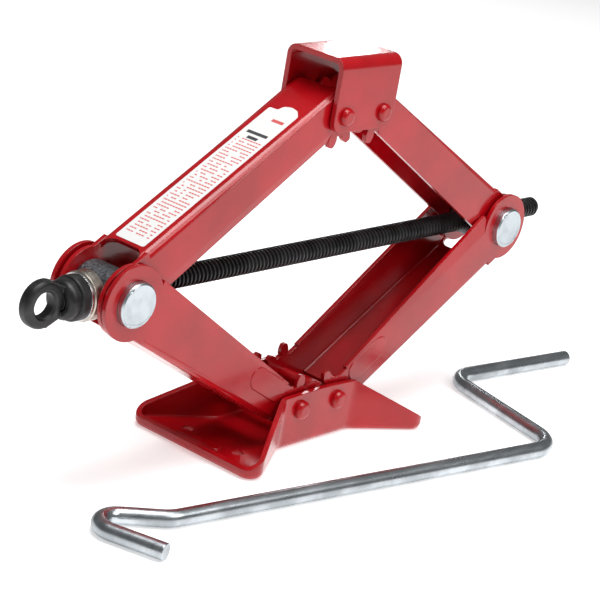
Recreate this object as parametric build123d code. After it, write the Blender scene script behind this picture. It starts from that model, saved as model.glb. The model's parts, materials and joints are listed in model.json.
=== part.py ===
"""Scissor stabilizer jack with a loose crank handle, in millimetres.

The jack stands on its base plate with the lifting screw along X and the eye for the crank at -X.
The origin is on the ground under the middle of the base, and +Z is up.  It is drawn part raised.
Every arm is drawn in its own frame first: u runs along X from the trunnion pivot to the geared
pivot, and w along Z points to the inside of the diamond that the four arms form.
"""

import os
from math import acos, cos, pi, radians, sin, tan

from build123d import *

# Linkage
ARM_LENGTH = 166.0          # pivot to pivot
REST_ANGLE = 30.2           # of each arm above or below level, as drawn
BASE_PIVOT_Z = 22.5         # height of the two base pivots
SHEET = 2.5                 # wall of the arms
PLATE = 3.0                 # wall of the base and the top bracket

# Gear ends of the arms
PITCH_R = 16.0              # also half of the distance between two neighbouring pivots
TEETH_ROUND = 8             # teeth that a whole gear of this size would have
PRESSURE_ANGLE = 28.0
ADDENDUM = 2.6
DEDENDUM = 4.0
TOOTH_TIP_ROUND = 1.0
BACKLASH = 0.35
TOOTH_STEP = 360 / TEETH_ROUND

# Arm widths and outlines
LOWER_HALF_W = 20.0
UPPER_HALF_W = 15.7
LOWER_EAR_R = 20.0
UPPER_EAR_R = 19.0
LOWER_WEB_W = 15.8          # the webs lie this far outside the pivot line
UPPER_WEB_W = 16.0
LOWER_WEB_TILT = 0.5        # and slope by this many degrees
UPPER_WEB_TILT = 1.0
FOLD_R = 4.0
LIP_LEAN = 8.0              # the free edges lean inward by this many degrees
LIP_START = 14.0            # the free edges start this far from the trunnion
WEB_START = 20.0            # and the web this far
WEB_NOTCH_R = 7.0
SINK = 0.3                  # how far one solid reaches into the next that it is joined to

# Pins
RUNNING = 0.08              # radial clearance of everything that turns
TRUNNION_R = 12.0
TRUNNION_HALF = 23.8
HUB_R = 13.0
HUB_HALF = 12.7
RIVET_R = 4.0
BASE_RIVET_HEAD_R = 5.4
BASE_RIVET_HEAD_H = 3.6
TOP_RIVET_HEAD_R = 5.0
TOP_RIVET_HEAD_H = 3.0

# Base plate
BASE_HALF_L = 78.0
BASE_HALF_W = 51.0          # where the side and end lines of the foot would cross
WAIST_HALF_L = 30.9
WAIST_HALF_W = 24.2
CHEEK_TOP = 32.0
LIP_TOP = 6.2
FOOT_CORNER_R = 8.0
FOOT_WAIST_R = 12.0
FOOT_EDGE_R = 4.0
BEAD_X = 65.0
BEAD_SHIFT = 4.0            # the beads stand off the middle by this much
BEAD_LENGTH = 30.0
BEAD_WIDTH = 8.0
BEAD_HEIGHT = 1.2
BOLT_X = 58.0
BOLT_Y = 18.5
BOLT_HOLE_R = 3.25

# Top bracket, measured from the top pivots
BRACKET_HALF_L = 25.3
BRACKET_HALF_W = 19.7
BRACKET_BELOW = 8.7
BRACKET_ABOVE = 31.5
BRACKET_FOLD_R = 6.0
BRACKET_CORNER_R = 6.5

# Lifting screw and its thrust end, measured outward from the left trunnion axis
SCREW_R = 6.0
SCREW_TIP_X = 218.0
BEARING_R = 12.9
CUP_START = 13.1
CUP_END = 19.8
CUP_WALL = 1.3
CUP_FLOOR = 2.0
WASHER_END = 21.4
COLLAR_R = 11.7
COLLAR_END = 27.0
SCREW_HEAD_END = 33.0
EYE_CENTRE = 44.0
EYE_OUTER_R = 12.5
EYE_HOLE_R = 6.6
EYE_HALF_T = 3.6
EYE_ROUNDING = 2.4
EYE_HOLE_CHAMFER = 1.2
SHOULDER_END_HALF = 6.5     # where the eye's flat shoulders run out on the neck
NECK_R = 10.4
NECK_ROUNDING = 3.5
BALL_R = 1.6
BALL_COUNT = 12
BALL_RING_R = 9.3
BALL_GAP = 0.05             # play of the balls on each side
CAGE_HALF_W = 2.0
CAGE_HALF_T = 0.6

# Sticker
LABEL_START = 24.0          # from the trunnion axis
LABEL_LENGTH = 122.0
LABEL_WIDTH = 20.0
LABEL_T = 0.2

# Crank handle: ends and corners of its centre line, seen from above
ROD_R = 4.6
GRIP_END = (257.1, -24.5)
GRIP_CORNER = (151.3, -8.6)
SHAFT_CORNER = (121.9, -109.0)
HOOK_START = (-153.3, -60.0)
HOOK_TURN = (-199.6, -23.5)
HOOK_TIP = (-182.5, -84.5)
ROD_BENDS = (18.0, 20.0, 20.0, 10.6)

# Worked out from the sizes above
REACH = ARM_LENGTH * cos(radians(REST_ANGLE))
RISE = ARM_LENGTH * sin(radians(REST_ANGLE))
TRUNNION_X = PITCH_R + REACH
TRUNNION_Z = BASE_PIVOT_Z + RISE
TOP_PIVOT_Z = TRUNNION_Z + RISE


def slab(outline, y_low, y_high):
    """Stand a flat outline up in the XZ plane and give it the thickness y_low to y_high."""
    return extrude(Plane.XZ.offset(-y_high) * outline, amount=y_high - y_low)


def polygon(*points):
    """A flat face with straight sides through the points."""
    return make_face(Polyline(*points, close=True))


def rod_y(radius, y_low, y_high, x=0.0, z=0.0):
    """A round bar along Y."""
    return Pos(x, (y_low + y_high) / 2, z) * Rot(90, 0, 0) * Cylinder(radius, y_high - y_low)


def rod_x(radius, x_low, x_high, z=0.0):
    """A round bar along X."""
    return Pos((x_low + x_high) / 2, 0, z) * Rot(0, 90, 0) * Cylinder(radius, x_high - x_low)


def polar(radius, angle):
    """Point at a radius and an angle in degrees."""
    return (radius * cos(radians(angle)), radius * sin(radians(angle)))


def involute(angle):
    """The involute function of an angle in radians."""
    return tan(angle) - angle


def tooth_outline():
    """One gear tooth along the local x axis, with its foot inside the root circle."""
    pressure = radians(PRESSURE_ANGLE)
    base_r = PITCH_R * cos(pressure)
    tip_r = PITCH_R + ADDENDUM
    middle_r = (base_r + tip_r) / 2
    half_pitch_angle = 90 / TEETH_ROUND - BACKLASH / 4 / PITCH_R * 180 / pi

    def half_angle(radius):
        flank = acos(min(1.0, base_r / radius))
        return half_pitch_angle + (involute(pressure) - involute(flank)) * 180 / pi

    foot_r = PITCH_R - DEDENDUM - 1
    wide = half_angle(base_r)
    upper = [polar(base_r, wide), polar(middle_r, half_angle(middle_r)), polar(tip_r, half_angle(tip_r))]
    lower = [(x, -y) for x, y in upper]
    edges = [
        Line(polar(foot_r, wide), upper[0]),
        ThreePointArc(*upper),
        ThreePointArc(upper[2], (tip_r, 0), lower[2]),
        ThreePointArc(lower[2], lower[1], lower[0]),
        Line(lower[0], polar(foot_r, -wide)),
        Line(polar(foot_r, -wide), polar(foot_r, wide)),
    ]
    tooth = make_face(edges)
    tips = tooth.vertices().group_by(Axis.X)[-1]
    return fillet(tips, TOOTH_TIP_ROUND)


def gear_outline(first_angle, count):
    """Root disc with a run of teeth, centred on the geared pivot."""
    outline = Circle(PITCH_R - DEDENDUM)
    tooth = tooth_outline()
    for index in range(count):
        outline += Rot(0, 0, first_angle + index * TOOTH_STEP) * tooth
    return Pos(ARM_LENGTH, 0) * outline


def arm(half_w, ear_r, web_w, web_tilt, web_end, crease, free_edge, edge_end, tail, first_tooth, tooth_count):
    """A pressed channel arm with round ears at the trunnion and gear teeth at the other end.

    web_w is how far the web lies outside the pivot line, web_tilt its slope in degrees, and
    free_edge the height of the free edges at the ear and at the gear, where they stop at
    edge_end.  tail is the outline's last stretch round the gear, from the web to the free edge.
    """
    inner = half_w - SHEET
    fold_top = FOLD_R - web_w
    web_top = SINK - web_w

    # flat part of the two flanges
    body = polygon((0, fold_top), (web_end, fold_top), *tail, (edge_end, crease), (0, crease))
    throat = polygon((0, fold_top), (0, web_top), (WEB_START, web_top), (WEB_START, fold_top))
    flat = Circle(ear_r) + body + throat
    near = flat + gear_outline(first_tooth, tooth_count)
    far = flat + gear_outline(first_tooth - TOOTH_STEP / 2, tooth_count)
    solid = slab(near, -half_w, -inner) + slab(far, inner, half_w)

    # leaning strip along the free edges
    ear_top = free_edge[0] - (free_edge[0] - free_edge[1]) * LIP_START / edge_end
    lean = (free_edge[0] - crease) * tan(radians(LIP_LEAN))
    for side in (-1, 1):
        section = polygon(
            (side * inner, crease),
            (side * half_w, crease),
            (side * (half_w - lean), free_edge[0]),
            (side * (inner - lean), free_edge[0]),
        )
        strip = extrude(Plane.YZ * section, amount=edge_end)
        free_side = [(LIP_START, ear_top), (edge_end, free_edge[1])]
        mask = polygon((LIP_START, crease), *free_side, (edge_end, crease))
        solid += strip & slab(mask, -half_w, half_w)

    # web with its two folds, cut back to a rounded notch before the trunnion
    profile = Pos(0, -web_w + FOLD_R) * Rectangle(2 * half_w, 2 * FOLD_R)
    profile = fillet(profile.vertices().group_by(Axis.Y)[0], FOLD_R)
    hollow = Pos(0, -web_w + SHEET + FOLD_R) * Rectangle(2 * inner, 2 * FOLD_R)
    hollow = fillet(hollow.vertices().group_by(Axis.Y)[0], FOLD_R - SHEET)
    half = Pos(0, -web_w + FOLD_R / 2) * Rectangle(2 * half_w, FOLD_R)
    first = WEB_START / 2
    channel = extrude(Plane.YZ.offset(first) * ((profile & half) - hollow), amount=web_end - first)
    mouth = RectangleRounded(2 * WEB_START, 2 * inner, WEB_NOTCH_R)
    notch = Pos(0, 0, -web_w) * extrude(mouth, FOLD_R * 2, both=True)
    solid += Rot(0, -web_tilt, 0) * (channel - notch)

    solid -= rod_y(TRUNNION_R + RUNNING, -half_w - 1, half_w + 1)
    solid -= rod_y(RIVET_R + RUNNING, -half_w - 1, half_w + 1, x=ARM_LENGTH)
    return solid


def lower_arm():
    """Outer arm of the pair that meets at a trunnion."""
    return arm(
        half_w=LOWER_HALF_W,
        ear_r=LOWER_EAR_R,
        web_w=LOWER_WEB_W,
        web_tilt=LOWER_WEB_TILT,
        web_end=150.0,
        crease=8.0,
        free_edge=(19.2, 9.2),
        edge_end=ARM_LENGTH - PITCH_R,
        tail=[(150.0, -14.4), (ARM_LENGTH - 2, -11.0), (ARM_LENGTH - 2, 8.0)],
        first_tooth=24.2,
        tooth_count=3,
    )


def upper_arm():
    """Inner arm of the pair that meets at a trunnion."""
    return arm(
        half_w=UPPER_HALF_W,
        ear_r=UPPER_EAR_R,
        web_w=UPPER_WEB_W,
        web_tilt=UPPER_WEB_TILT,
        web_end=170.0,
        crease=6.0,
        free_edge=(12.2, 9.4),
        edge_end=ARM_LENGTH - PITCH_R / 2,
        tail=[(170.0, -6.0), (ARM_LENGTH + 2, 6.0)],
        first_tooth=18.7,
        tooth_count=4,
    )


def base_plate():
    """Pressed foot: a bow-tie tray with high cheeks at its waist for the two base pivots."""
    corners = [
        (BASE_HALF_L, BASE_HALF_W),
        (WAIST_HALF_L, WAIST_HALF_W),
        (-WAIST_HALF_L, WAIST_HALF_W),
        (-BASE_HALF_L, BASE_HALF_W),
        (-BASE_HALF_L, -BASE_HALF_W),
        (-WAIST_HALF_L, -WAIST_HALF_W),
        (WAIST_HALF_L, -WAIST_HALF_W),
        (BASE_HALF_L, -BASE_HALF_W),
    ]
    outline = polygon(*corners)
    ends = outline.vertices().filter_by(lambda v: abs(v.X) > WAIST_HALF_L + 1)
    outline = fillet(ends, FOOT_CORNER_R)
    waist = outline.vertices().filter_by(lambda v: abs(abs(v.X) - WAIST_HALF_L) < 0.5)
    outline = fillet(waist, FOOT_WAIST_R)
    block = extrude(outline, CHEEK_TOP)
    block = fillet(block.faces().sort_by(Axis.Z)[0].edges(), FOOT_EDGE_R)
    inside = extrude(Pos(0, 0, PLATE) * offset(outline, -PLATE), CHEEK_TOP)
    inside = fillet(inside.faces().sort_by(Axis.Z)[0].edges(), PLATE / 2)
    tray = block - inside

    # the side walls run down from the cheeks to the end lips
    side_view = polygon(
        (-BASE_HALF_L - 5, -5),
        (BASE_HALF_L + 5, -5),
        (BASE_HALF_L + 5, LIP_TOP),
        (BASE_HALF_L - 1.5, LIP_TOP),
        (WAIST_HALF_L, CHEEK_TOP - 1),
        (0, CHEEK_TOP + 0.3),
        (-WAIST_HALF_L, CHEEK_TOP - 1),
        (-BASE_HALF_L + 1.5, LIP_TOP),
        (-BASE_HALF_L - 5, LIP_TOP),
    )
    tray = tray & slab(side_view, -BASE_HALF_W, BASE_HALF_W)

    # shallow stiffening beads beside the end lips
    for end in (-1, 1):
        slot = Pos(end * BEAD_X, -end * BEAD_SHIFT, PLATE) * SlotOverall(BEAD_LENGTH, BEAD_WIDTH, rotation=90)
        bead = extrude(slot, BEAD_HEIGHT)
        tray += fillet(bead.faces().sort_by(Axis.Z)[-1].edges(), 0.8)
        for side in (-1, 1):
            tray -= Pos(end * BOLT_X, side * BOLT_Y, 0) * Cylinder(BOLT_HOLE_R, 4 * PLATE)
        tray -= rod_y(RIVET_R, -BASE_HALF_W, BASE_HALF_W, x=end * PITCH_R, z=BASE_PIVOT_Z)
    return tray


def top_bracket():
    """Folded saddle over the two top pivots, open towards both ends of the jack."""
    height = BRACKET_BELOW + BRACKET_ABOVE
    section = Pos(0, BRACKET_ABOVE - height / 2) * Rectangle(2 * BRACKET_HALF_W, height)
    section = fillet(section.vertices().group_by(Axis.Y)[-1], BRACKET_FOLD_R)
    inner_w = BRACKET_HALF_W - PLATE
    hollow = Pos(0, BRACKET_ABOVE - PLATE - height / 2) * Rectangle(2 * inner_w, height)
    hollow = fillet(hollow.vertices().group_by(Axis.Y)[-1], BRACKET_FOLD_R - PLATE)
    saddle = extrude(Plane.YZ.offset(-BRACKET_HALF_L) * (section - hollow), amount=2 * BRACKET_HALF_L)
    upright = saddle.edges().filter_by(Axis.Y).group_by(Axis.Z)[0]
    saddle = fillet(upright, BRACKET_CORNER_R)
    for end in (-1, 1):
        saddle -= rod_y(RIVET_R, -BRACKET_HALF_W - 1, BRACKET_HALF_W + 1, x=end * PITCH_R)
    return Pos(0, 0, TOP_PIVOT_Z) * saddle


def rivet(wall_half, head_r, head_h):
    """Pivot rivet through both cheeks, with a domed head on each side."""
    solid = rod_y(RIVET_R, -wall_half, wall_half)
    for side in (-1, 1):
        head = rod_y(head_r, wall_half, wall_half + head_h)
        head = fillet(head.edges().group_by(Axis.Y)[-1], head_h * 0.75)
        solid += head if side > 0 else mirror(head, Plane.XZ)
    return solid


def trunnion(bore_r, boss):
    """Cross pin through the four ears, with a thicker hub bored for the screw."""
    solid = rod_y(TRUNNION_R, -TRUNNION_HALF, TRUNNION_HALF)
    solid = chamfer(solid.edges().group_by(Axis.Y)[0] + solid.edges().group_by(Axis.Y)[-1], 0.8)
    hub = rod_y(HUB_R, -HUB_HALF, HUB_HALF)
    solid += chamfer(hub.edges().group_by(Axis.Y)[0] + hub.edges().group_by(Axis.Y)[-1], 0.6)
    if boss:
        solid += rod_x(HUB_HALF, -CUP_START, 0)
    return solid - rod_x(bore_r, -2 * HUB_R, 2 * HUB_R)


def left_trunnion():
    """Trunnion that takes the thrust of the screw."""
    return Pos(-TRUNNION_X, 0, TRUNNION_Z) * trunnion(SCREW_R + 0.3, boss=True)


def right_trunnion():
    """Trunnion that is the nut of the screw."""
    return Pos(TRUNNION_X, 0, TRUNNION_Z) * trunnion(SCREW_R + RUNNING, boss=False)


def at_thrust_end(solid):
    """Move a solid drawn about the left trunnion axis, outward along -X, to its place."""
    return Pos(-TRUNNION_X, 0, TRUNNION_Z) * solid


def screw():
    """Lifting screw: its thread fills the stretch outside the crank end."""
    rod = rod_x(SCREW_R, -TRUNNION_X - SCREW_HEAD_END, SCREW_TIP_X, z=TRUNNION_Z)
    return chamfer(rod.edges().group_by(Axis.X)[-1], 1.5)


def bearing_cup():
    """Steel cup on the trunnion that holds the balls."""
    cup = rod_x(BEARING_R, -CUP_END, -CUP_START)
    cup = chamfer(cup.edges().group_by(Axis.X)[0], 0.5)
    cup -= rod_x(BEARING_R - CUP_WALL, -CUP_END - 1, -CUP_START - CUP_FLOOR)
    cup -= rod_x(SCREW_R + 1, -CUP_END, -CUP_START + 1)
    return at_thrust_end(cup)


def ball_centre_x():
    """Distance of the ball ring from the trunnion axis."""
    return -(CUP_START + CUP_FLOOR + BALL_GAP + BALL_R)


def bearing_balls():
    """Ring of separate balls."""
    balls = []
    for index in range(BALL_COUNT):
        y, z = polar(BALL_RING_R, index * 360 / BALL_COUNT)
        balls.append(at_thrust_end(Pos(ball_centre_x(), y, z) * Sphere(BALL_R)))
    return Compound(children=balls)


def ball_cage():
    """Flat ring that spaces the balls."""
    middle = ball_centre_x()
    cage = rod_x(BALL_RING_R + CAGE_HALF_W, middle - CAGE_HALF_T, middle + CAGE_HALF_T)
    cage -= rod_x(BALL_RING_R - CAGE_HALF_W, middle - 1, middle + 1)
    for index in range(BALL_COUNT):
        y, z = polar(BALL_RING_R, index * 360 / BALL_COUNT)
        cage -= Pos(middle, y, z) * Rot(0, 90, 0) * Cylinder(BALL_R + 2 * BALL_GAP, 4)
    return at_thrust_end(cage)


def thrust_washer():
    """Hard washer on the screw, whose raised ring runs on the balls."""
    washer = rod_x(BEARING_R - 0.6, -WASHER_END, -CUP_END - 0.2)
    race_end = ball_centre_x() - BALL_R - BALL_GAP
    washer += rod_x(BEARING_R - CUP_WALL - 0.4, -CUP_END - 0.2, race_end)
    return at_thrust_end(washer - rod_x(SCREW_R, -WASHER_END - 1, -CUP_START))


def thrust_collar():
    """Black collar that carries the screw's pull to the washer."""
    collar = rod_x(COLLAR_R, -COLLAR_END, -WASHER_END)
    collar = fillet(collar.edges().group_by(Axis.X)[0], 1.4)
    return at_thrust_end(collar - rod_x(SCREW_R, -COLLAR_END - 1, -WASHER_END + 1))


def crank_eye():
    """Forged eye that the crank's hook drops into, with the neck that is fixed on the screw."""
    ring = rod_y(EYE_OUTER_R, -EYE_HALF_T, EYE_HALF_T, x=-EYE_CENTRE)
    ring = fillet(ring.edges().group_by(Axis.Y)[0] + ring.edges().group_by(Axis.Y)[-1], EYE_ROUNDING)
    neck = rod_x(NECK_R, -SCREW_HEAD_END, -COLLAR_END)
    neck = fillet(neck.edges().group_by(Axis.X)[0], NECK_ROUNDING)
    shoulder = polygon(
        (-EYE_CENTRE + 2, EYE_OUTER_R - 0.4),
        (-EYE_CENTRE + 2, 0.4 - EYE_OUTER_R),
        (-SCREW_HEAD_END + NECK_ROUNDING, -SHOULDER_END_HALF),
        (-SCREW_HEAD_END + NECK_ROUNDING, SHOULDER_END_HALF),
    )
    eye = ring + neck + slab(shoulder, 0.6 - EYE_HALF_T, EYE_HALF_T - 0.6)
    eye -= rod_y(EYE_HOLE_R, -EYE_HALF_T - 1, EYE_HALF_T + 1, x=-EYE_CENTRE)
    rim = eye.edges().filter_by(GeomType.CIRCLE).filter_by(lambda e: abs(e.radius - EYE_HOLE_R) < 0.01)
    eye = chamfer(rim, EYE_HOLE_CHAMFER)
    eye -= rod_x(SCREW_R, -SCREW_HEAD_END, 0)
    return at_thrust_end(eye)


def label():
    """Thin sticker on the web of the upper left arm."""
    middle = LABEL_START + LABEL_LENGTH / 2
    sticker = Pos(middle, 0, UPPER_WEB_W + LABEL_T / 2) * Box(LABEL_LENGTH, LABEL_WIDTH, LABEL_T)
    sticker = Rot(0, UPPER_WEB_TILT, 0) * sticker
    return Pos(-TRUNNION_X, 0, TRUNNION_Z) * Rot(0, -REST_ANGLE, 0) * sticker


def rounded_path(points, radii):
    """Straight runs through the points, each inner corner turned on its own radius."""
    places = [Vector(*point) for point in points]
    edges = []
    start = places[0]
    for before, corner, after, radius in zip(places, places[1:], places[2:], radii):
        back = (before - corner).normalized()
        ahead = (after - corner).normalized()
        half_open = radians(back.get_angle(ahead)) / 2
        reach = radius / tan(half_open)
        middle = (back + ahead).normalized() * (radius / sin(half_open) - radius)
        edges.append(Line(start, corner + back * reach))
        edges.append(ThreePointArc(corner + back * reach, corner + middle, corner + ahead * reach))
        start = corner + ahead * reach
    edges.append(Line(start, places[-1]))
    return Wire(edges)


def crank_handle():
    """Bent round rod lying on the ground: grip, throw, shaft and hook."""
    corners = (GRIP_END, GRIP_CORNER, SHAFT_CORNER, HOOK_START, HOOK_TURN, HOOK_TIP)
    path = rounded_path([(x, y, ROD_R) for x, y in corners], ROD_BENDS)
    start = Plane(origin=path @ 0, z_dir=path % 0)
    return sweep(start * Circle(ROD_R), path=path)


def left_arm_place(tilt):
    """Where an arm's own frame goes on the left of the jack."""
    return Pos(-TRUNNION_X, 0, TRUNNION_Z) * Rot(0, tilt, 0)


def build():
    """Every sub-part by the name of its file."""
    lower = left_arm_place(REST_ANGLE) * lower_arm()
    upper = left_arm_place(-REST_ANGLE) * Rot(180, 0, 0) * upper_arm()
    half_turn = Rot(0, 0, 180)
    parts = {
        "base_plate": base_plate(),
        "lower_left_arm": lower,
        "lower_right_arm": half_turn * lower,
        "upper_left_arm": upper,
        "upper_right_arm": half_turn * upper,
        "top_bracket": top_bracket(),
        "left_trunnion": left_trunnion(),
        "right_trunnion": right_trunnion(),
        "screw": screw(),
        "bearing_cup": bearing_cup(),
        "bearing_balls": bearing_balls(),
        "ball_cage": ball_cage(),
        "thrust_washer": thrust_washer(),
        "thrust_collar": thrust_collar(),
        "crank_eye": crank_eye(),
        "label": label(),
        "crank_handle": crank_handle(),
    }
    for name, end in (("left", -1), ("right", 1)):
        x = end * PITCH_R
        base_rivet = rivet(WAIST_HALF_W, BASE_RIVET_HEAD_R, BASE_RIVET_HEAD_H)
        top_rivet = rivet(BRACKET_HALF_W, TOP_RIVET_HEAD_R, TOP_RIVET_HEAD_H)
        parts["base_rivet_" + name] = Pos(x, 0, BASE_PIVOT_Z) * base_rivet
        parts["top_rivet_" + name] = Pos(x, 0, TOP_PIVOT_Z) * top_rivet
    return parts


os.makedirs("parts", exist_ok=True)
for node, shape in build().items():
    export_step(shape, "parts/" + node + ".step")
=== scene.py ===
"""Looks of the scissor stabilizer jack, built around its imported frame.

Lengths inside the classes are millimetres; a finished piece is moved to its place and to metres
as it leaves the bench.
"""

import json
import logging
from dataclasses import dataclass
from enum import Enum
from math import cos, hypot, pi, radians, sin, tan
from typing import Iterable, Sequence

import bmesh
import bpy
from mathutils import Matrix, Vector


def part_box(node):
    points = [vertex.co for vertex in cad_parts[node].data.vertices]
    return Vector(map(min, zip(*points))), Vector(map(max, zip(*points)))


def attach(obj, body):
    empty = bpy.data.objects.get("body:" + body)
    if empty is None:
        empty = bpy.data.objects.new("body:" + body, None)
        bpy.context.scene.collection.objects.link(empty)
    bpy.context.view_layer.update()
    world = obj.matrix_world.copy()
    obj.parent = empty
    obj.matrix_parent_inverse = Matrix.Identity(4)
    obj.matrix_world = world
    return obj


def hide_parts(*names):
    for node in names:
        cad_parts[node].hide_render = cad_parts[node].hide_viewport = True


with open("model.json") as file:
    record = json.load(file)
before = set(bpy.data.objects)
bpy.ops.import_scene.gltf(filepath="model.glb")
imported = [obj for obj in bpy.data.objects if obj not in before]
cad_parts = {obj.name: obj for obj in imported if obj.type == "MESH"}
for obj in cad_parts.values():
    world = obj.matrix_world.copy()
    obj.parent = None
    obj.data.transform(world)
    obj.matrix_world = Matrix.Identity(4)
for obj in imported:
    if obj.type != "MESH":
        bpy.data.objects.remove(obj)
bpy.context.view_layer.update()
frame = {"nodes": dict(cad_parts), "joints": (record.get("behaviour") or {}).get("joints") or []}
MM = 0.001

log = logging.getLogger("jack")

Point = tuple[float, float]
Colour = tuple[float, float, float]


class Side(Enum):
    """Which end of the jack a piece belongs to."""

    LEFT = -1
    RIGHT = 1

    @property
    def word(self) -> str:
        """The side as it stands in the frame's names."""
        return self.name.lower()


class Slot(Enum):
    """Material slots of the record."""

    RED = "red_paint"
    PLATED = "plated_steel"
    PIN = "forged_pin"
    BLACK = "black_steel"
    BEARING = "bearing_steel"
    FILM = "label_film"


# ---------------------------------------------------------------- finishes


class Graph:
    """A material's nodes, with short calls for those that the finishes share."""

    def __init__(self, name: str) -> None:
        """Start a material with one shader.

        Args:
            name: what the material is called.
        """
        self.material = bpy.data.materials.new(name)
        self.material.use_nodes = True
        self.tree = self.material.node_tree
        self.tree.nodes.clear()
        self.shader = self.node("ShaderNodeBsdfPrincipled")
        output = self.node("ShaderNodeOutputMaterial")
        self.tree.links.new(self.shader.outputs["BSDF"], output.inputs["Surface"])
        self.place = self.node("ShaderNodeTexCoord").outputs["Object"]

    def node(self, kind: str, **settings: object) -> bpy.types.Node:
        """Add a node.

        Args:
            kind: the node's type name.
            settings: properties to set on it.

        Returns:
            The new node.
        """
        made = self.tree.nodes.new(kind)
        for key, value in settings.items():
            setattr(made, key, value)
        return made

    def feed(self, target: bpy.types.NodeSocket, value: object) -> None:
        """Link a socket to the target, or set the target to a plain value.

        Args:
            target: the input socket.
            value: an output socket, a number or a colour.
        """
        if isinstance(value, bpy.types.NodeSocket):
            self.tree.links.new(value, target)
        elif isinstance(value, tuple) and len(value) == 3 and target.type == "RGBA":
            target.default_value = (*value, 1.0)
        else:
            target.default_value = value

    def math(self, operation: str, first: object, second: object = 0.0) -> bpy.types.NodeSocket:
        """Work out one sum.

        Args:
            operation: the Math node's operation.
            first: socket or number.
            second: socket or number.

        Returns:
            The result's socket.
        """
        made = self.node("ShaderNodeMath", operation=operation)
        self.feed(made.inputs[0], first)
        self.feed(made.inputs[1], second)
        return made.outputs[0]

    def stretched(self, scale: Sequence[float], centre: Sequence[float] = (0, 0, 0)) -> bpy.types.NodeSocket:
        """Object coordinates about a centre, with their own scale on each axis.

        Args:
            scale: factor along X, Y and Z.
            centre: point that becomes the origin, in metres.

        Returns:
            The vector's socket.
        """
        made = self.node("ShaderNodeMapping", vector_type="POINT")
        self.feed(made.inputs["Vector"], self.place)
        made.inputs["Scale"].default_value = tuple(scale)
        made.inputs["Location"].default_value = tuple(-c * s for c, s in zip(centre, scale))
        return made.outputs[0]

    def noise(self, scale: float, detail: float = 3.0, vector: object = None) -> bpy.types.NodeSocket:
        """Soft noise over the piece.

        Args:
            scale: cells to the metre.
            detail: octaves.
            vector: coordinates, or None for the plain object ones.

        Returns:
            The factor's socket.
        """
        made = self.node("ShaderNodeTexNoise")
        made.inputs["Scale"].default_value = scale
        made.inputs["Detail"].default_value = detail
        self.feed(made.inputs["Vector"], vector or self.place)
        return made.outputs["Fac"]

    def ramp(self, source: object, low: float, high: float, start: float = 0.0,
             end: float = 1.0) -> bpy.types.NodeSocket:
        """Map a span of the source onto another span, held at its ends.

        Args:
            source: socket to read.
            low: source value that gives start.
            high: source value that gives end.
            start: result at low.
            end: result at high.

        Returns:
            The mapped value's socket.
        """
        made = self.node("ShaderNodeMapRange")
        for index, value in enumerate((source, low, high, start, end)):
            self.feed(made.inputs[index], value)
        return made.outputs[0]

    def blend(self, factor: object, low: object, high: object) -> bpy.types.NodeSocket:
        """Mix two colours.

        Args:
            factor: share of the second colour.
            low: first colour.
            high: second colour.

        Returns:
            The mixed colour's socket.
        """
        made = self.node("ShaderNodeMix", data_type="RGBA")
        self.feed(made.inputs[0], factor)
        self.feed(made.inputs[6], low)
        self.feed(made.inputs[7], high)
        return made.outputs[2]

    def edges(self, radius: float) -> tuple[bpy.types.NodeSocket, bpy.types.NodeSocket]:
        """Find the edges of the piece.

        Args:
            radius: how far the rounding reaches, in metres.

        Returns:
            The rounded normal, and a factor that is 1 on an edge.
        """
        rounded = self.node("ShaderNodeBevel", samples=6)
        rounded.inputs["Radius"].default_value = radius
        flat = self.node("ShaderNodeNewGeometry").outputs["Normal"]
        dot = self.node("ShaderNodeVectorMath", operation="DOT_PRODUCT")
        self.feed(dot.inputs[0], rounded.outputs[0])
        self.feed(dot.inputs[1], flat)
        return rounded.outputs[0], self.ramp(dot.outputs["Value"], 0.995, 0.88)

    def relief(self, height: object, depth: float, normal: object = None) -> bpy.types.NodeSocket:
        """Bump the surface.

        Args:
            height: the relief's factor.
            depth: its depth in metres.
            normal: normal to start from.

        Returns:
            The new normal.
        """
        made = self.node("ShaderNodeBump")
        made.inputs["Strength"].default_value = 1.0
        made.inputs["Distance"].default_value = depth
        self.feed(made.inputs["Height"], height)
        if normal is not None:
            self.feed(made.inputs["Normal"], normal)
        return made.outputs[0]

    def finish(self, **inputs: object) -> bpy.types.Material:
        """Feed the shader.

        Args:
            inputs: shader input names, with _ for a space.

        Returns:
            The material.
        """
        for name, value in inputs.items():
            self.feed(self.shader.inputs[name.replace("_", " ")], value)
        return self.material


@dataclass(frozen=True)
class Enamel:
    """Glossy stoved enamel over sheet steel."""

    name: str = "red_enamel"
    light: Colour = (0.47, 0.003, 0.008)
    deep: Colour = (0.36, 0.002, 0.005)
    thin: Colour = (0.18, 0.002, 0.004)
    edge: float = 0.0007

    def build(self) -> bpy.types.Material:
        """Make the material: cloudy tone, orange peel, thinner paint along the edges.

        Returns:
            The material.
        """
        graph = Graph(self.name)
        normal, edge = graph.edges(self.edge)
        cloud = graph.ramp(graph.noise(34.0, 4.0), 0.35, 0.65)
        tone = graph.blend(cloud, self.deep, self.light)
        rubbed = graph.math("MULTIPLY", edge, graph.ramp(graph.noise(420.0, 3.0), 0.42, 0.62, 0.05, 0.55))
        colour = graph.blend(rubbed, tone, self.thin)
        peel = graph.noise(520.0, 2.0)
        rough = graph.ramp(graph.noise(90.0, 3.0), 0.3, 0.7, 0.17, 0.27)
        return graph.finish(
            Base_Color=colour,
            Roughness=rough,
            Specular_IOR_Level=0.40,
            Coat_Weight=0.25,
            Coat_Roughness=0.06,
            Normal=graph.relief(peel, 0.00006, normal),
        )


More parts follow.
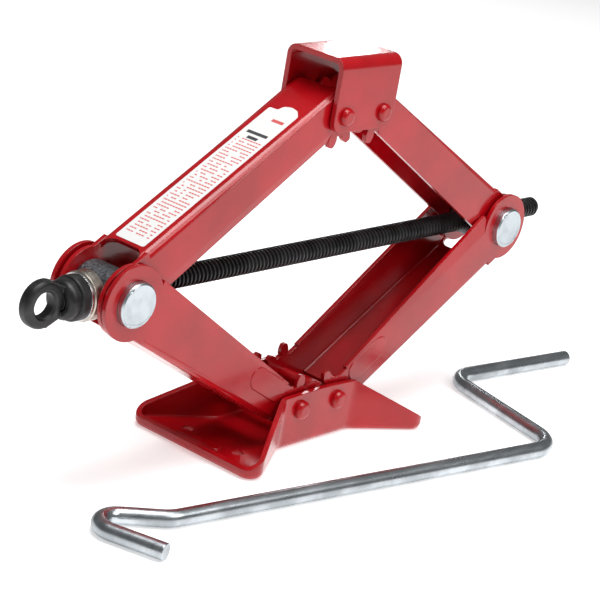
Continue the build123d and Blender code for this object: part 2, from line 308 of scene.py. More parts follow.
@dataclass(frozen=True)
class ZincPlate:
    """Bright zinc on drawn rod."""

    name: str = "zinc_plate"
    light: Colour = (0.56, 0.60, 0.63)
    dull: Colour = (0.34, 0.37, 0.39)
    edge: float = 0.0005

    def build(self) -> bpy.types.Material:
        """Make the material: die lines along the rod, cloudy plating, duller spots, and edges lightened as a
        painted highlight.

        Returns:
            The material.
        """
        graph = Graph(self.name)
        normal, edge = graph.edges(self.edge)
        lines = graph.noise(260.0, 4.0, graph.stretched((0.06, 1.0, 1.0)))
        cloud = graph.noise(55.0, 5.0)
        tone = graph.blend(graph.ramp(cloud, 0.38, 0.62), self.dull, self.light)
        # The edges are lightened towards the light tone, a painted highlight.
        colour = graph.blend(graph.math("MULTIPLY", edge, 0.4), tone, self.light)
        wear_and_sheen = graph.ramp(cloud, 0.3, 0.7, 0.30, 0.20)
        rough = graph.math("ADD", wear_and_sheen, graph.ramp(lines, 0.3, 0.7, 0.0, 0.10))
        return graph.finish(
            Base_Color=colour,
            Metallic=1.0,
            Roughness=rough,
            Normal=graph.relief(lines, 0.00005, normal),
        )


@dataclass(frozen=True)
class PinSteel:
    """Rough forged pin whose end faces are turned and plated."""

    name: str
    centre: tuple[float, float, float]
    face_from: float
    face: Colour = (0.53, 0.58, 0.61)
    hub: Colour = (0.24, 0.25, 0.27)
    dark: Colour = (0.07, 0.073, 0.078)
    edge: float = 0.0006
    ring_pitch: float = 0.0009
    relief: float = 0.00025

    def build(self) -> bpy.types.Material:
        """Make the material: forge grain on the hub, turning rings and scuffs on the faces.

        Returns:
            The material.
        """
        graph = Graph(self.name)
        normal, edge = graph.edges(self.edge)
        local = graph.stretched((1, 1, 1), self.centre)
        apart = graph.node("ShaderNodeSeparateXYZ")
        graph.feed(apart.inputs[0], local)
        across = graph.math("ABSOLUTE", apart.outputs["Y"])
        is_face = graph.ramp(across, self.face_from - self.edge, self.face_from)
        squares = graph.math("ADD", graph.math("POWER", apart.outputs["X"], 2.0),
                             graph.math("POWER", apart.outputs["Z"], 2.0))
        radius = graph.math("SQRT", squares)
        rings = graph.math("SINE", graph.math("MULTIPLY", radius, 2 * pi / self.ring_pitch))
        grain = graph.noise(700.0, 5.0)
        scuff = graph.ramp(graph.noise(160.0, 5.0), 0.45, 0.75)
        forged = graph.blend(graph.ramp(grain, 0.35, 0.7), self.dark, self.hub)
        plated = graph.blend(graph.math("MULTIPLY", scuff, 0.22), self.face, self.hub)
        body = graph.blend(is_face, forged, plated)
        # The edges are darkened towards the dark tone.
        rubbed = graph.math("MULTIPLY", edge, graph.ramp(grain, 0.4, 0.6, 0.2, 0.8))
        pits = graph.math("MULTIPLY", grain, graph.ramp(is_face, 0, 1, 1.0, 0.08))
        turned = graph.math("MULTIPLY", graph.math("MULTIPLY", rings, 0.04), is_face)
        rough = graph.math("ADD", graph.ramp(is_face, 0, 1, 0.48, 0.30), graph.math("MULTIPLY", scuff, 0.12))
        return graph.finish(
            Base_Color=graph.blend(rubbed, body, self.dark),
            Metallic=1.0,
            Roughness=rough,
            Normal=graph.relief(graph.math("ADD", pits, turned), self.relief, normal),
        )


@dataclass(frozen=True)
class BlackOxide:
    """Oiled black oxide, grey on its edges: rubbed oxide, with a painted highlight along them."""

    name: str = "black_oxide"
    black: Colour = (0.012, 0.012, 0.013)
    grey: Colour = (0.035, 0.035, 0.037)
    # Grey of the edges: rubbed oxide and a painted highlight in one.
    rubbed: Colour = (0.16, 0.16, 0.165)
    edge: float = 0.0008
    grain: float = 420.0

    def build(self) -> bpy.types.Material:
        """Make the material: mottled oxide, pitted grain, lighter edges that are both rubbed oxide and a
        painted highlight.

        Returns:
            The material.
        """
        graph = Graph(self.name)
        normal, edge = graph.edges(self.edge)
        pits = graph.noise(self.grain, 5.0)
        tone = graph.blend(graph.ramp(graph.noise(110.0, 4.0), 0.4, 0.65), self.black, self.grey)
        # The edges are lightened towards that grey: rubbed oxide and a painted highlight.
        wear_and_sheen = graph.math("MULTIPLY", edge, graph.ramp(pits, 0.40, 0.60, 0.15, 0.75))
        return graph.finish(
            Base_Color=graph.blend(wear_and_sheen, tone, self.rubbed),
            Metallic=0.35,
            Roughness=graph.ramp(graph.noise(150.0, 4.0), 0.3, 0.7, 0.34, 0.52),
            Normal=graph.relief(pits, 0.00012, normal),
        )


@dataclass(frozen=True)
class TurnedSteel:
    """Lathe-turned steel with fine rings along its axis."""

    name: str
    light: Colour
    dull: Colour
    smooth: float
    edge: float = 0.0004

    def build(self) -> bpy.types.Material:
        """Make the material: turning rings, a warm and a dull tone, and brighter edges that are a painted
        highlight.

        Returns:
            The material.
        """
        graph = Graph(self.name)
        normal, edge = graph.edges(self.edge)
        rings = graph.noise(2600.0, 2.0, graph.stretched((1.0, 0.03, 0.03)))
        cloud = graph.noise(180.0, 4.0)
        tone = graph.blend(graph.ramp(cloud, 0.35, 0.65), self.dull, self.light)
        return graph.finish(
            # The edges are lightened towards the light tone, a painted highlight.
            Base_Color=graph.blend(graph.math("MULTIPLY", edge, 0.5), tone, self.light),
            Metallic=1.0,
            Roughness=graph.ramp(cloud, 0.3, 0.7, self.smooth, self.smooth + 0.12),
            Normal=graph.relief(rings, 0.00004, normal),
        )


@dataclass(frozen=True)
class PrintedFilm:
    """Matt white film with generic rows of bars.

    Its own map runs from 0 to 1 each way.  The title, the second bar and the mark each give how far
    back from the top end they start, and where they lie across the film.
    """

    length: float
    width: float
    name: str = "printed_film"
    film: Colour = (0.86, 0.86, 0.85)
    red: Colour = (0.66, 0.10, 0.10)
    dark: Colour = (0.05, 0.05, 0.055)
    soiled: Colour = (0.70, 0.69, 0.67)
    row: float = 2.5
    word: float = 1.9
    margin: float = 2.0
    first_row: float = 5.0
    rows_share: float = 0.74
    bar: float = 2.2
    title: tuple[float, float, float] = (27.5, 3.0, 17.0)
    second: tuple[float, float, float] = (31.5, 6.5, 13.5)
    mark: tuple[float, float, float] = (14.5, 3.0, 11.0)

    def window(self, graph: Graph, value: object, low: float, high: float) -> bpy.types.NodeSocket:
        """A factor that is 1 where the value lies between two limits.

        Args:
            graph: material to work in.
            value: socket to test.
            low: lower limit.
            high: upper limit.

        Returns:
            The factor's socket.
        """
        above = graph.math("GREATER_THAN", value, low)
        return graph.math("MULTIPLY", above, graph.math("LESS_THAN", value, high))

    def build(self) -> bpy.types.Material:
        """Make the material: rows of short red bars, two dark bars and a plain mark at the top.

        Returns:
            The material.
        """
        graph = Graph(self.name)
        sheet = graph.node("ShaderNodeUVMap", uv_map="print")
        apart = graph.node("ShaderNodeSeparateXYZ")
        graph.feed(apart.inputs[0], sheet.outputs[0])
        along = graph.math("MULTIPLY", apart.outputs["X"], self.length)
        across = graph.math("MULTIPLY", apart.outputs["Y"], self.width)
        row = graph.math("DIVIDE", along, self.row)
        in_row = self.window(graph, graph.math("FRACT", row), 0.34, 0.68)
        cell = graph.node("ShaderNodeCombineXYZ")
        graph.feed(cell.inputs[0], graph.math("FLOOR", row))
        graph.feed(cell.inputs[1], graph.math("FLOOR", graph.math("DIVIDE", across, self.word)))
        dice = graph.node("ShaderNodeTexWhiteNoise", noise_dimensions="2D")
        graph.feed(dice.inputs["Vector"], cell.outputs[0])
        inked = graph.math("LESS_THAN", dice.outputs["Value"], 0.80)
        letter = graph.math("FRACT", graph.math("DIVIDE", across, self.word))
        gap = self.window(graph, letter, 0.08, 0.92)
        margin = self.window(graph, across, self.margin, self.width - self.margin)
        block = self.window(graph, along, self.first_row, self.length * self.rows_share)
        rows = in_row
        for part in (inked, gap, margin, block):
            rows = graph.math("MULTIPLY", rows, part)
        bars = []
        for back, low, high in (self.title, self.second, self.mark):
            start = self.length - back
            stretch = self.window(graph, along, start, start + self.bar)
            bars.append(graph.math("MULTIPLY", stretch, self.window(graph, across, low, high)))
        title, second, mark = bars
        grime = graph.ramp(graph.noise(300.0, 4.0), 0.4, 0.8, 0.0, 0.25)
        film = graph.blend(grime, self.film, self.soiled)
        colour = graph.blend(graph.math("MAXIMUM", rows, mark), film, self.red)
        colour = graph.blend(graph.math("MAXIMUM", title, second), colour, self.dark)
        return graph.finish(
            Base_Color=colour,
            Roughness=graph.ramp(graph.noise(500.0, 2.0), 0.3, 0.7, 0.42, 0.55),
            Normal=graph.relief(graph.noise(900.0, 2.0), 0.00003),
        )


@dataclass(frozen=True)
class PaleFloor:
    """Pale seamless paper."""

    name: str = "pale_floor"
    colour: Colour = (0.90, 0.90, 0.90)
    shade: Colour = (0.87, 0.87, 0.87)
    near: float = 1.6
    far: float = 4.0
    glow_near: float = 0.54
    glow_far: float = 0.30

    def build(self) -> bpy.types.Material:
        """Make the material: faint paper tone, with a glow that fades away from the jack.

        Returns:
            The material.
        """
        graph = Graph(self.name)
        tone = graph.blend(graph.noise(6.0, 2.0), self.shade, self.colour)
        apart = graph.node("ShaderNodeVectorMath", operation="LENGTH")
        graph.feed(apart.inputs[0], graph.place)
        glow = graph.ramp(apart.outputs["Value"], self.near, self.far, self.glow_near, self.glow_far)
        return graph.finish(Base_Color=tone, Roughness=0.9, Emission_Color=tone, Emission_Strength=glow)


# ---------------------------------------------------------------- bench


def axes(origin: Sequence[float], x: Sequence[float], z: Sequence[float]) -> Matrix:
    """Place a local frame, given in millimetres, in the row frame in metres.

    Args:
        origin: where the local origin goes, in metres.
        x: direction of the local X axis.
        z: direction of the local Z axis.

    Returns:
        The placing matrix, scale included.
    """
    x_dir, z_dir = Vector(x).normalized(), Vector(z).normalized()
    y_dir = z_dir.cross(x_dir)
    turn = Matrix((x_dir, y_dir, z_dir)).transposed().to_4x4()
    return Matrix.Translation(Vector(origin)) @ turn @ Matrix.Scale(MM, 4)


class Blank:
    """A mesh on the bench, in millimetres, that becomes one finished piece."""

    def __init__(self) -> None:
        """Start empty."""
        self.mesh = bmesh.new()

    def chain(self, outline: Iterable[Point]) -> list[bmesh.types.BMEdge]:
        """Draw an open outline in the XZ plane.

        Args:
            outline: (x, z) points in order.

        Returns:
            Its edges.
        """
        points = [self.mesh.verts.new((x, 0.0, z)) for x, z in outline]
        return [self.mesh.edges.new(pair) for pair in zip(points, points[1:])]

    def lathe(self, outline: Iterable[Point], steps: int = 64) -> None:
        """Turn an outline of (radius, height) points round the Z axis into a closed solid.

        Args:
            outline: points in order; the first and last have radius 0, or are the same point.
            steps: steps round the turn.
        """
        edges = self.chain(outline)
        corners = list({vert for edge in edges for vert in edge.verts})
        bmesh.ops.spin(self.mesh, geom=corners + edges, cent=(0, 0, 0), axis=(0, 0, 1), dvec=(0, 0, 0),
                       angle=2 * pi, steps=steps, use_merge=True, use_duplicate=False)
        self.merge()

    def merge(self, distance: float = 0.002) -> None:
        """Join points that lie together, then turn every face outward.

        Args:
            distance: how near counts as together.
        """
        bmesh.ops.remove_doubles(self.mesh, verts=self.mesh.verts, dist=distance)
        bmesh.ops.dissolve_degenerate(self.mesh, dist=distance / 10, edges=self.mesh.edges)
        bmesh.ops.recalc_face_normals(self.mesh, faces=self.mesh.faces)

    def sharp_edges(self, angle: float) -> list[bmesh.types.BMEdge]:
        """Edges where two faces meet at more than an angle.

        Args:
            angle: the limit in degrees.

        Returns:
            The edges.
        """
        return [edge for edge in self.mesh.edges
                if edge.is_manifold and edge.calc_face_angle(0.0) > radians(angle)]

    def soften(self, width: float, segments: int = 2, angle: float = 35.0) -> None:
        """Round off the sharp edges.

        Args:
            width: width of the rounding.
            segments: its steps.
            angle: edges sharper than this are rounded.
        """
        bmesh.ops.bevel(self.mesh, geom=self.sharp_edges(angle), offset=width, offset_type="OFFSET",
                        segments=segments, profile=0.5, affect="EDGES", clamp_overlap=True, material=-1)

    def move(self, matrix: Matrix, verts: Iterable[bmesh.types.BMVert] = ()) -> None:
        """Move all points, or some.

        Args:
            matrix: where to.
            verts: the points, or none for all.
        """
        bmesh.ops.transform(self.mesh, matrix=matrix, verts=list(verts) or self.mesh.verts)

    def add(self, other: "Blank") -> None:
        """Take in another blank's mesh.

        Args:
            other: the blank, which is used up.
        """
        loose = bpy.data.meshes.new("loose")
        other.mesh.to_mesh(loose)
        other.mesh.free()
        self.mesh.from_mesh(loose)
        bpy.data.meshes.remove(loose)

    def thing(self, name: str) -> bpy.types.Object:
        """Turn the blank into an object in the scene.

        Args:
            name: the object's name.

        Returns:
            The object.
        """
        data = bpy.data.meshes.new(name)
        self.mesh.to_mesh(data)
        self.mesh.free()
        made = bpy.data.objects.new(name, data)
        bpy.context.scene.collection.objects.link(made)
        return made

    def cut(self, cutter: "Blank") -> None:
        """Cut another blank's shape out of this one.

        Args:
            cutter: the blank to cut away, which is used up.
        """
        body, tool = self.thing("body"), cutter.thing("tool")
        knife = body.modifiers.new("cut", "BOOLEAN")
        knife.operation, knife.solver, knife.object = "DIFFERENCE", "EXACT", tool
        bpy.context.view_layer.update()
        seen = body.evaluated_get(bpy.context.evaluated_depsgraph_get())
        self.mesh = bmesh.new()
        self.mesh.from_mesh(seen.to_mesh())
        seen.to_mesh_clear()
        for used in (body, tool):
            data = used.data
            bpy.data.objects.remove(used)
            bpy.data.meshes.remove(data)

    def finish(self, name: str, place: Matrix, material: bpy.types.Material,
               smooth: float = 32.0) -> bpy.types.Object:
        """Send the piece off the bench to its place.

        Args:
            name: the piece's name.
            place: from the bench to the row frame.
            material: its finish.
            smooth: faces that meet at less than this angle shade as one.

        Returns:
            The finished object.
        """
        self.move(place)
        made = self.thing(name)
        made.data.materials.append(material)
        made.data.shade_smooth()
        made.data.set_sharp_from_angle(angle=radians(smooth))
        even = made.modifiers.new("even_shading", "WEIGHTED_NORMAL")
        even.weight, even.keep_sharp = 100, True
        return made


def node_copy(node: str) -> Blank:
    """Copy a CAD node onto the bench, its loose triangles joined and its flat faces made whole.

    Args:
        node: the node's name.

    Returns:
        The blank, in millimetres in the row frame.
    """
    blank = Blank()
    blank.mesh.from_mesh(frame["nodes"][node].data)
    blank.move(Matrix.Scale(1 / MM, 4))
    bmesh.ops.remove_doubles(blank.mesh, verts=blank.mesh.verts, dist=0.01)
    bmesh.ops.dissolve_limit(blank.mesh, angle_limit=radians(0.4), use_dissolve_boundaries=False,
                             verts=blank.mesh.verts, edges=blank.mesh.edges)
    return blank


def settle(piece: bpy.types.Object, body: str, slot: Slot, *nodes: str) -> None:
    """Hand a finished piece to the frame.

    Args:
        piece: the object.
        body: CAD body that it rides on.
        slot: slot that its finish stands for; not used.
        nodes: CAD nodes that it stands for.
    """
    if nodes:
        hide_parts(*nodes)
    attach(piece, body)
    log.info("%s rides on %s, %d faces", piece.name, body, len(piece.data.polygons))


def dress(node: str, material: bpy.types.Material) -> None:
    """Give a carried-over CAD node its finish.

    Args:
        node: the node's name.
        material: the finish.
    """
    data = frame["nodes"][node].data
    data.materials.clear()
    data.materials.append(material)
    log.info("%s keeps its shape and takes %s", node, material.name)


def pivot(joint: str) -> Vector:
    """Where a joint's axis stands, in metres.

    Args:
        joint: the joint's name.

    Returns:
        The point.
    """
    for entry in frame["joints"]:
        if entry["name"] == joint:
            return Vector(entry["pos_m"])
    raise KeyError(joint)


# ---------------------------------------------------------------- sub-assemblies


@dataclass
class Foot:
    """Pressed foot plate with its two pivot rivets."""

    paint: bpy.types.Material
    rounding: float = 0.45

    def build(self) -> None:
        """Round the plate's cut edges and paint it with its rivets."""
        plate = node_copy("base_plate")
        plate.soften(self.rounding, 2, 50.0)
        piece = plate.finish("foot_plate", Matrix.Scale(MM, 4), self.paint)
        settle(piece, "base", Slot.RED, "base_plate")
        for side in Side:
            dress("base_rivet_" + side.word, self.paint)


@dataclass
class Saddle:
    """Folded head bracket with its two pivot rivets."""

    paint: bpy.types.Material
    rounding: float = 0.5

    def build(self) -> None:
        """Round the bracket's cut edges and paint it with its rivets."""
        bracket = node_copy("top_bracket")
        bracket.soften(self.rounding, 3, 50.0)
        piece = bracket.finish("head_bracket", Matrix.Scale(MM, 4), self.paint)
        settle(piece, "head", Slot.RED, "top_bracket")
        for side in Side:
            dress("top_rivet_" + side.word, self.paint)


@dataclass
class ChannelArm:
    """Pressed channel arm; a lower arm has a shallow pad raised near the gear on each flange."""

    paint: bpy.types.Material
    side: Side
    lower: bool
    rounding: float = 0.35
    half_width: float = 20.0
    pad_length: float = 34.0
    pad_width: float = 13.0
    pad_height: float = 0.5
    pad_along: float = 133.0
    pad_across: float = 2.0
    pad_root: float = 0.6
    pad_steps: int = 48

    def pad(self) -> Blank:
        """Low pad with round ends and soft sides, drawn along X, its root below Z = 0.

        Returns:
            The blank.
        """
        blank = Blank()
        half_step = Matrix.Rotation(pi / self.pad_steps, 4, "Z")
        bmesh.ops.create_circle(blank.mesh, cap_ends=True, radius=self.pad_width / 2, segments=self.pad_steps,
                                matrix=Matrix.Translation((0, 0, -self.pad_root)) @ half_step)
        reach = (self.pad_length - self.pad_width) / 2
        for way in (-1, 1):
            end = [vert for vert in blank.mesh.verts if vert.co.x * way > 0]
            bmesh.ops.translate(blank.mesh, vec=(way * reach, 0, 0), verts=end)
        grown = bmesh.ops.extrude_face_region(blank.mesh, geom=list(blank.mesh.faces))["geom"]
        top = [item for item in grown if isinstance(item, bmesh.types.BMVert)]
        bmesh.ops.translate(blank.mesh, vec=(0, 0, self.pad_root + self.pad_height), verts=top)
        bmesh.ops.recalc_face_normals(blank.mesh, faces=blank.mesh.faces)
        lip = [edge for edge in blank.mesh.edges if all(vert in top for vert in edge.verts)]
        bmesh.ops.bevel(blank.mesh, geom=lip, offset=self.pad_height * 0.96, offset_type="OFFSET",
                        segments=3, profile=0.5, affect="EDGES", clamp_overlap=True, material=-1)
        return blank

    def build(self) -> None:
        """Round the arm's cut edges, raise the pads on a lower arm's flanges and paint it."""
        level = "lower" if self.lower else "upper"
        node = f"{level}_{self.side.word}_arm"
        arm = node_copy(node)
        arm.soften(self.rounding, 2, 50.0)
        if self.lower:
            pin = pivot(f"{self.side.word}_pin_pivot")
            foot = pivot("lift" if self.side is Side.LEFT else "lower_right_pivot")
            along = (foot - pin).normalized()
            out = Vector((-along.z, 0.0, along.x)) * (1 if along.x > 0 else -1)
            centre = pin / MM + along * self.pad_along + out * self.pad_across
            for way in (-1, 1):
                turn = Matrix((along, Vector((0, way, 0)).cross(along), (0, way, 0))).transposed().to_4x4()
                spot = centre + Vector((0, way * self.half_width, 0))
                low = self.pad()
                low.move(Matrix.Translation(spot) @ turn)
                arm.add(low)
        piece = arm.finish(f"{level}_arm_{self.side.word}", Matrix.Scale(MM, 4), self.paint)
        settle(piece, f"{level}_{self.side.word}", Slot.RED, node)


@dataclass
class Trunnion:
    """Cross pin with a thick hub bored for the screw and staked end faces."""

    side: Side
    radius: float = 12.0
    half_length: float = 23.8
    hub_radius: float = 13.0
    hub_half: float = 12.7
    bore: float = 6.3
    rim: float = 0.9
    dish: float = 0.35
    dish_edge: float = 2.6
    dish_rise: float = 0.6
    hub_rim: float = 0.8
    stakes: tuple[float, ...] = (128.0, 236.0, 318.0)
    stake_size: tuple[float, ...] = (0.9, 1.7, 0.7)
    stake_inset: float = 0.6
    face_from: float = 0.0195

    def turned(self) -> Blank:
        """The pin as it leaves the lathe, along Z.

        Returns:
            The blank.
        """
        edge = self.half_length - self.rim
        outline = [
            (0, self.half_length - self.dish),
            (self.radius - self.dish_edge, self.half_length - self.dish),
            (self.radius - self.dish_edge + self.dish_rise, self.half_length),
            (self.radius - self.rim, self.half_length),
            (self.radius, edge),
            (self.radius, self.hub_half + self.hub_rim),
            (self.hub_radius - self.hub_rim, self.hub_half),
            (self.hub_radius, self.hub_half - self.hub_rim),
        ]
        blank = Blank()
        blank.lathe(outline + [(r, -z) for r, z in reversed(outline)], 72)
        return blank

    def tools(self) -> Blank:
        """The drill for the screw and the punches for the staking marks.

        Returns:
            The blank.
        """
        drill = Blank()
        deep = self.hub_radius + 7
        drill.lathe([(0, -deep), (self.bore, -deep), (self.bore, deep), (0, deep)], 48)
        drill.move(Matrix.Rotation(pi / 2, 4, "Y"))
        for way in (-1, 1):
            for angle in self.stakes:
                punch = Blank()
                bmesh.ops.create_icosphere(punch.mesh, subdivisions=2, radius=1.0)
                out = Vector((cos(radians(angle)), sin(radians(angle)), 0))
                spot = out * (self.radius - self.stake_inset)
                place = Matrix.Translation(spot + Vector((0, 0, way * self.half_length)))
                turn = Matrix.Rotation(radians(angle), 4, "Z")
                punch.move(place @ turn @ Matrix.Diagonal((*self.stake_size, 1.0)))
                drill.add(punch)
        return drill

    def build(self) -> None:
        """Turn, drill, stake and place the pin."""
        blank = self.turned()
        blank.cut(self.tools())
        centre = pivot(f"{self.side.word}_pin_pivot")
        material = PinSteel(f"forged_pin_{self.side.word}", tuple(centre), self.face_from).build()
        piece = blank.finish(f"cross_pin_{self.side.word}", axes(centre, (1, 0, 0), (0, -1, 0)), material)
        settle(piece, f"{self.side.word}_pin", Slot.PIN, f"{self.side.word}_trunnion")


@dataclass
class LiftingScrew:
    """Long screw with a coarse trapezoidal thread."""

    steel: bpy.types.Material
    radius: float = 5.98
    root: float = 4.5
    pitch: float = 3.0
    shank: float = 5.0
    plain: float = 66.0
    chamfer: float = 1.6
    around: int = 28

    def thread(self, length: float) -> Blank:
        """The threaded stretch, from Z = 0 to its length.

        Args:
            length: its length.

        Returns:
            The blank.
        """
        turns = int(length / self.pitch) + 3
        step = self.pitch
        ridge = [
            (self.root, 0.0),
            (self.root, 0.16 * step),
            (self.radius, 0.34 * step),
            (self.radius, 0.66 * step),
            (self.root, 0.84 * step),
            (self.root, step),
        ]
        blank = Blank()
        edges = blank.chain([(r, z - step) for r, z in ridge])
        corners = list({vert for edge in edges for vert in edge.verts})
        bmesh.ops.spin(blank.mesh, geom=corners + edges, cent=(0, 0, 0), axis=(0, 0, 1),
                       dvec=(0, 0, step / self.around), angle=2 * pi * turns, steps=self.around * turns,
                       use_merge=False, use_duplicate=False)
        bmesh.ops.remove_doubles(blank.mesh, verts=blank.mesh.verts, dist=0.01)
        for height, way in ((0.0, -1), (length, 1)):
            whole = blank.mesh.verts[:] + blank.mesh.edges[:] + blank.mesh.faces[:]
            cut = bmesh.ops.bisect_plane(blank.mesh, geom=whole, plane_co=(0, 0, height),
                                         plane_no=(0, 0, way), clear_outer=True, dist=1e-5)
            rim = [item for item in cut["geom_cut"] if isinstance(item, bmesh.types.BMEdge)]
            bmesh.ops.edgeloop_fill(blank.mesh, edges=rim)
        bmesh.ops.recalc_face_normals(blank.mesh, faces=blank.mesh.faces)
        chamfer_start = length - self.chamfer
        for vert in blank.mesh.verts:
            allowed = self.radius - max(0.0, vert.co.z - chamfer_start)
            reach = hypot(vert.co.x, vert.co.y)
            if reach > allowed:
                vert.co.x *= allowed / reach
                vert.co.y *= allowed / reach
        return blank

    def build(self) -> None:
        """Cut the thread, add the plain shank that carries the eye, and place both."""
        low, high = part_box("screw")
        total = (high.x - low.x) / MM
        blank = self.thread(total - self.plain)
        blank.move(Matrix.Translation((0, 0, self.plain)))
        shank = Blank()
        shank.lathe([(0, 0), (self.shank, 0), (self.shank, self.plain + 1), (0, self.plain + 1)], 40)
        blank.add(shank)
        start = Vector((low.x, 0.0, (low.z + high.z) / 2))
        piece = blank.finish("lifting_screw", axes(start, (0, 0, 1), (1, 0, 0)), self.steel, 28.0)
        settle(piece, "screw_shaft", Slot.BLACK, "screw")


@dataclass
class ThrustEnd:
    """Bearing, collar and eye at the crank end of the screw."""

    black: bpy.types.Material
    cup: bpy.types.Material
    bright: bpy.types.Material

    def build(self) -> None:
        """Dress the pieces, whose shapes come from the frame."""
        for node in ("thrust_collar", "crank_eye"):
            dress(node, self.black)
        dress("bearing_cup", self.cup)
        for node in ("thrust_washer", "ball_cage", "bearing_balls"):
            dress(node, self.bright)


@dataclass
class CrankHandle:
    """Loose crank of bent round rod, measured from the low corner of its box."""

    zinc: bpy.types.Material
    rod: float = 4.6
    end_break: float = 0.7
    sides: int = 40
    steps: int = 16
    route: tuple[Point, ...] = (
        (452.91, 86.27),
        (347.11, 102.17),
        (317.71, 1.77),
        (42.51, 50.77),
        (-3.79, 87.27),
        (13.31, 26.27),
    )
    radii: tuple[float, ...] = (18.0, 20.0, 20.0, 10.6)

    def bent(self, points: Sequence[Vector]) -> Blank:
        """Draw the rod through its points, each corner bent on its radius.

        Args:
            points: ends and corners of the rod's centre line.

        Returns:
            The blank.
        """
        blank = Blank()
        ahead = (points[1] - points[0]).normalized()
        turn = ahead.to_track_quat("Z", "Y").to_matrix().to_4x4()
        bmesh.ops.create_circle(blank.mesh, cap_ends=False, radius=self.rod, segments=self.sides,
                                matrix=Matrix.Translation(points[0]) @ turn)
        rim = list(blank.mesh.edges)
        spot = points[0]
        for corner, after, radius in zip(points[1:], points[2:], self.radii):
            leave = (after - corner).normalized()
            swing = ahead.angle(leave)
            reach = radius * tan(swing / 2)
            start = corner - ahead * reach
            rim = self.extend(blank, rim, start - spot)
            hinge = ahead.cross(leave).normalized()
            centre = start + hinge.cross(ahead).normalized() * radius
            swept = bmesh.ops.spin(blank.mesh, geom=rim, cent=centre, axis=hinge, dvec=(0, 0, 0),
                                   angle=swing, steps=self.steps, use_merge=False, use_duplicate=False)
            rim = [item for item in swept["geom_last"] if isinstance(item, bmesh.types.BMEdge)]
            spot = corner + leave * reach
            ahead = leave
        self.extend(blank, rim, points[-1] - spot)
        bmesh.ops.holes_fill(blank.mesh, edges=blank.mesh.edges, sides=0)
        blank.merge()
        return blank

    def extend(self, blank: Blank, rim: list[bmesh.types.BMEdge], run: Vector) -> list[bmesh.types.BMEdge]:
        """Draw the rod straight on.

        Args:
            blank: the rod so far.
            rim: its open end.
            run: how far, and which way.

        Returns:
            The new open end.
        """
        grown = bmesh.ops.extrude_edge_only(blank.mesh, edges=rim)["geom"]
        verts = [item for item in grown if isinstance(item, bmesh.types.BMVert)]
        bmesh.ops.translate(blank.mesh, vec=run, verts=verts)
        return [item for item in grown if isinstance(item, bmesh.types.BMEdge)
                and all(vert in verts for vert in item.verts)]

    def build(self) -> None:
        """Bend the rod, break its end edges and lay it down."""
        low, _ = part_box("crank_handle")
        corner = low / MM
        points = [corner + Vector((x, y, self.rod)) for x, y in self.route]
        blank = self.bent(points)
        blank.soften(self.end_break, 3, 50.0)
        piece = blank.finish("crank_rod", Matrix.Scale(MM, 4), self.zinc)
        settle(piece, "crank", Slot.PLATED, "crank_handle")


@dataclass
class Sticker:
    """Film on the web of the upper left arm, with a die-cut top end."""

    length: float = 124.0
    width: float = 20.0
    start: float = 22.0
    height: float = 16.02
    lean: float = 1.0
    thickness: float = 0.14
    corner: float = 1.2
    tab: float = 5.0

    def build(self) -> None:
        """Cut the film, map its print and lay it on the arm."""
        blank = Blank()
        half = self.width / 2
        shoulder = self.length - self.tab
        outline = [
            (0.0, -half),
            (shoulder, -half),
            (self.length - 1.0, -half * 0.62),
            (self.length, -half * 0.15),
            (self.length - 1.5, half * 0.3),
            (shoulder, half * 0.42),
            (shoulder, half),
            (0.0, half),
        ]
        face = blank.mesh.faces.new([blank.mesh.verts.new((x, y, 0.0)) for x, y in outline])
        bmesh.ops.bevel(blank.mesh, geom=list(face.verts), offset=self.corner, offset_type="OFFSET",
                        segments=4, profile=0.5, affect="VERTICES", material=-1)
        grown = bmesh.ops.extrude_face_region(blank.mesh, geom=list(blank.mesh.faces))["geom"]
        top = [item for item in grown if isinstance(item, bmesh.types.BMVert)]
        bmesh.ops.translate(blank.mesh, vec=(0, 0, self.thickness), verts=top)
        bmesh.ops.recalc_face_normals(blank.mesh, faces=blank.mesh.faces)
        layer = blank.mesh.loops.layers.uv.new("print")
        for face in blank.mesh.faces:
            for loop in face.loops:
                loop[layer].uv = (loop.vert.co.x / self.length, loop.vert.co.y / self.width + 0.5)
        pin, top_pivot = pivot("upper_left_pivot"), pivot("head_pivot")
        along = (top_pivot - pin).normalized()
        tilt = radians(self.lean)
        out = Vector((-along.z, 0.0, along.x))
        lay = along * cos(tilt) - out * sin(tilt)
        normal = out * cos(tilt) + along * sin(tilt)
        blank.move(Matrix.Translation((self.start, 0.0, self.height)))
        material = PrintedFilm(self.length, self.width).build()
        piece = blank.finish("arm_sticker", axes(pin, lay, normal), material)
        settle(piece, "upper_left", Slot.FILM, "label")


# ---------------------------------------------------------------- studio


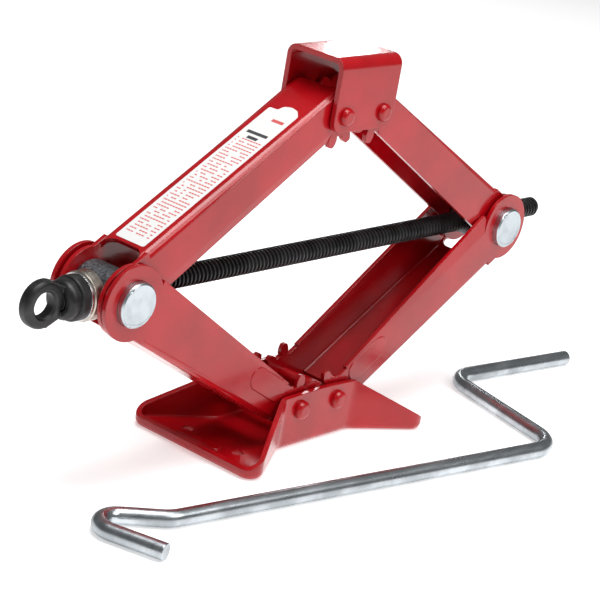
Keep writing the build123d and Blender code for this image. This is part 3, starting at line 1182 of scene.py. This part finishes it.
@dataclass
class Studio:
    """Pale floor, soft lights and the camera."""

    eye: tuple[float, float, float] = (-0.8848, -0.6749, 0.4515)
    right: tuple[float, float, float] = (0.6423, -0.7487, 0.1638)
    up: tuple[float, float, float] = (0.1451, 0.3286, 0.9332)
    back: tuple[float, float, float] = (-0.7526, -0.5756, 0.3196)
    lens: float = 126.4
    floor_half: float = 9.0
    world: float = 0.17

    def floor(self) -> None:
        """Lay the pale floor, large enough for every view."""
        blank = Blank()
        bmesh.ops.create_grid(blank.mesh, x_segments=8, y_segments=8, size=self.floor_half)
        piece = blank.thing("pale_floor")
        piece.data.materials.append(PaleFloor().build())

    def light(self, name: str, spot: Sequence[float], size: Point, power: float) -> None:
        """Hang one soft light that points at the jack.

        Args:
            name: the light's name.
            spot: where it hangs.
            size: its width and height.
            power: its power in watts.
        """
        data = bpy.data.lights.new(name, "AREA")
        data.shape, data.size, data.size_y, data.energy = "RECTANGLE", size[0], size[1], power
        lamp = bpy.data.objects.new(name, data)
        lamp.location = spot
        aim = Vector((0.0, 0.0, 0.1)) - Vector(spot)
        lamp.rotation_euler = aim.to_track_quat("-Z", "Y").to_euler()
        bpy.context.scene.collection.objects.link(lamp)

    def camera(self) -> None:
        """Set up the camera."""
        data = bpy.data.cameras.new("camera")
        data.sensor_width, data.lens = 36.0, self.lens
        data.clip_start, data.clip_end = 0.05, 60.0
        viewer = bpy.data.objects.new("camera", data)
        turn = Matrix((self.right, self.up, self.back)).transposed().to_4x4()
        viewer.matrix_world = Matrix.Translation(self.eye) @ turn
        bpy.context.scene.collection.objects.link(viewer)
        bpy.context.scene.camera = viewer

    def build(self) -> None:
        """Set the stage."""
        scene = bpy.context.scene
        scene.view_settings.view_transform = "Standard"
        scene.world = bpy.data.worlds.new("studio")
        scene.world.use_nodes = True
        sky = scene.world.node_tree.nodes["Background"]
        sky.inputs["Color"].default_value = (1.0, 1.0, 1.0, 1.0)
        sky.inputs["Strength"].default_value = self.world
        self.floor()
        self.light("top_box", (-0.1, -0.1, 1.9), (1.1, 1.1), 30.0)
        self.light("front_box", (0.19, -1.02, 1.20), (0.9, 0.75), 9.0)
        self.light("back_strip", (1.15, 0.87, 0.60), (0.06, 0.5), 0.8)
        self.camera()


def main() -> None:
    """Build every sub-assembly in order."""
    Studio().build()
    paint = Enamel().build()
    black = BlackOxide().build()
    Foot(paint).build()
    for side in Side:
        for lower in (True, False):
            ChannelArm(paint, side, lower).build()
        Trunnion(side).build()
    Saddle(paint).build()
    # The thread's edges take a darker grey, also both wear and a painted highlight.
    LiftingScrew(BlackOxide("thread_oxide", rubbed=(0.09, 0.09, 0.095), edge=0.0003).build()).build()
    warm = TurnedSteel("warm_turned_steel", (0.66, 0.60, 0.52), (0.42, 0.38, 0.33), 0.26).build()
    bright = TurnedSteel("bright_turned_steel", (0.80, 0.80, 0.79), (0.60, 0.60, 0.60), 0.18).build()
    ThrustEnd(black, warm, bright).build()
    CrankHandle(ZincPlate().build()).build()
    Sticker().build()


if __name__ == "__main__":
    logging.basicConfig(level=logging.INFO, format="%(asctime)s %(name)s: %(message)s")
    main()
